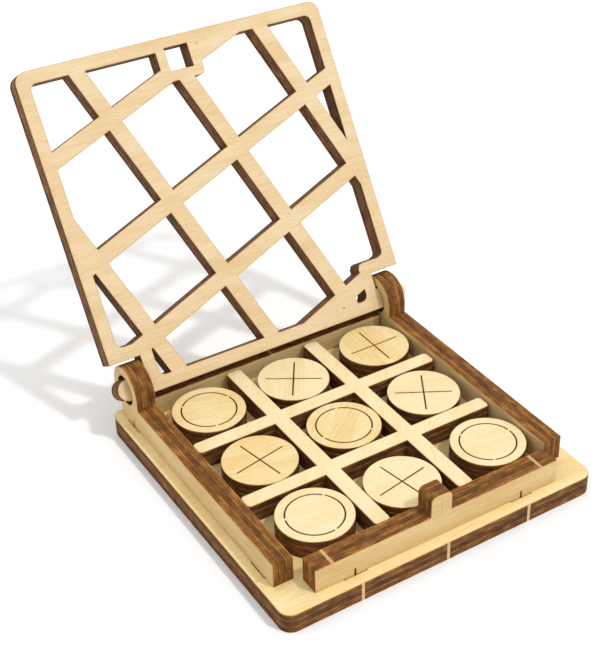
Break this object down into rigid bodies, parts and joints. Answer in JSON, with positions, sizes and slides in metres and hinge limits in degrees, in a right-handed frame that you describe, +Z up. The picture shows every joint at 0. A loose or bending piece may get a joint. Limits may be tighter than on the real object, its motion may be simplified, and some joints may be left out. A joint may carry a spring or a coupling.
{
  "type": "tic tac toe set",
  "caption": "Pocket tic tac toe game of laser-cut birch plywood: square tray with a crossed divider, loose O and X discs, and a hinged lattice lid with a latch tab.",
  "frame": {"origin": "centre of the base plate's underside, on the surface that the game rests on", "axes": "+Z up, +X along the hinge, +Y towards the hinge side, so -Y is the latch side"},
  "size_m": [0.066, 0.097, 0.0649],
  "materials": {
    "birch_plywood": "matt sanded face veneer with dark brown laser-burnt cut edges",
    "birch_counter": "matt sanded face veneer with laser-cut marks and dark brown burnt rims"
  },
  "bodies": {
    "box": {"base_plate": "birch_plywood", "left_wall": "birch_plywood", "right_wall": "birch_plywood", "front_wall": "birch_plywood", "rear_wall": "birch_plywood", "grid_divider": "birch_plywood"},
    "lid": {"lattice_lid": "birch_plywood"},
    "counter_o_1": {"counter_o_1": "birch_counter"},
    "counter_o_2": {"counter_o_2": "birch_counter"},
    "counter_o_3": {"counter_o_3": "birch_counter"},
    "counter_o_4": {"counter_o_4": "birch_counter"},
    "counter_x_1": {"counter_x_1": "birch_counter"},
    "counter_x_2": {"counter_x_2": "birch_counter"},
    "counter_x_3": {"counter_x_3": "birch_counter"},
    "counter_x_4": {"counter_x_4": "birch_counter"},
    "counter_x_5": {"counter_x_5": "birch_counter"}
  },
  "joints": [
    {"name": "lid_hinge", "type": "hinge", "parent": "box", "child": "lid", "pos_m": [0, 0.0293, 0.011], "axis": [-1, 0, 0], "range_deg": [-122, 0]},
    {"name": "counter_o_1_lift", "type": "slide", "parent": "box", "child": "counter_o_1", "axis": [0, 0, 1], "range_m": [0, 0.03]},
    {"name": "counter_o_2_lift", "type": "slide", "parent": "box", "child": "counter_o_2", "axis": [0, 0, 1], "range_m": [0, 0.03]},
    {"name": "counter_o_3_lift", "type": "slide", "parent": "box", "child": "counter_o_3", "axis": [0, 0, 1], "range_m": [0, 0.03]},
    {"name": "counter_o_4_lift", "type": "slide", "parent": "box", "child": "counter_o_4", "axis": [0, 0, 1], "range_m": [0, 0.03]},
    {"name": "counter_x_1_lift", "type": "slide", "parent": "box", "child": "counter_x_1", "axis": [0, 0, 1], "range_m": [0, 0.03]},
    {"name": "counter_x_2_lift", "type": "slide", "parent": "box", "child": "counter_x_2", "axis": [0, 0, 1], "range_m": [0, 0.03]},
    {"name": "counter_x_3_lift", "type": "slide", "parent": "box", "child": "counter_x_3", "axis": [0, 0, 1], "range_m": [0, 0.03]},
    {"name": "counter_x_4_lift", "type": "slide", "parent": "box", "child": "counter_x_4", "axis": [0, 0, 1], "range_m": [0, 0.03]},
    {"name": "counter_x_5_lift", "type": "slide", "parent": "box", "child": "counter_x_5", "axis": [0, 0, 1], "range_m": [0, 0.03]}
  ]
}
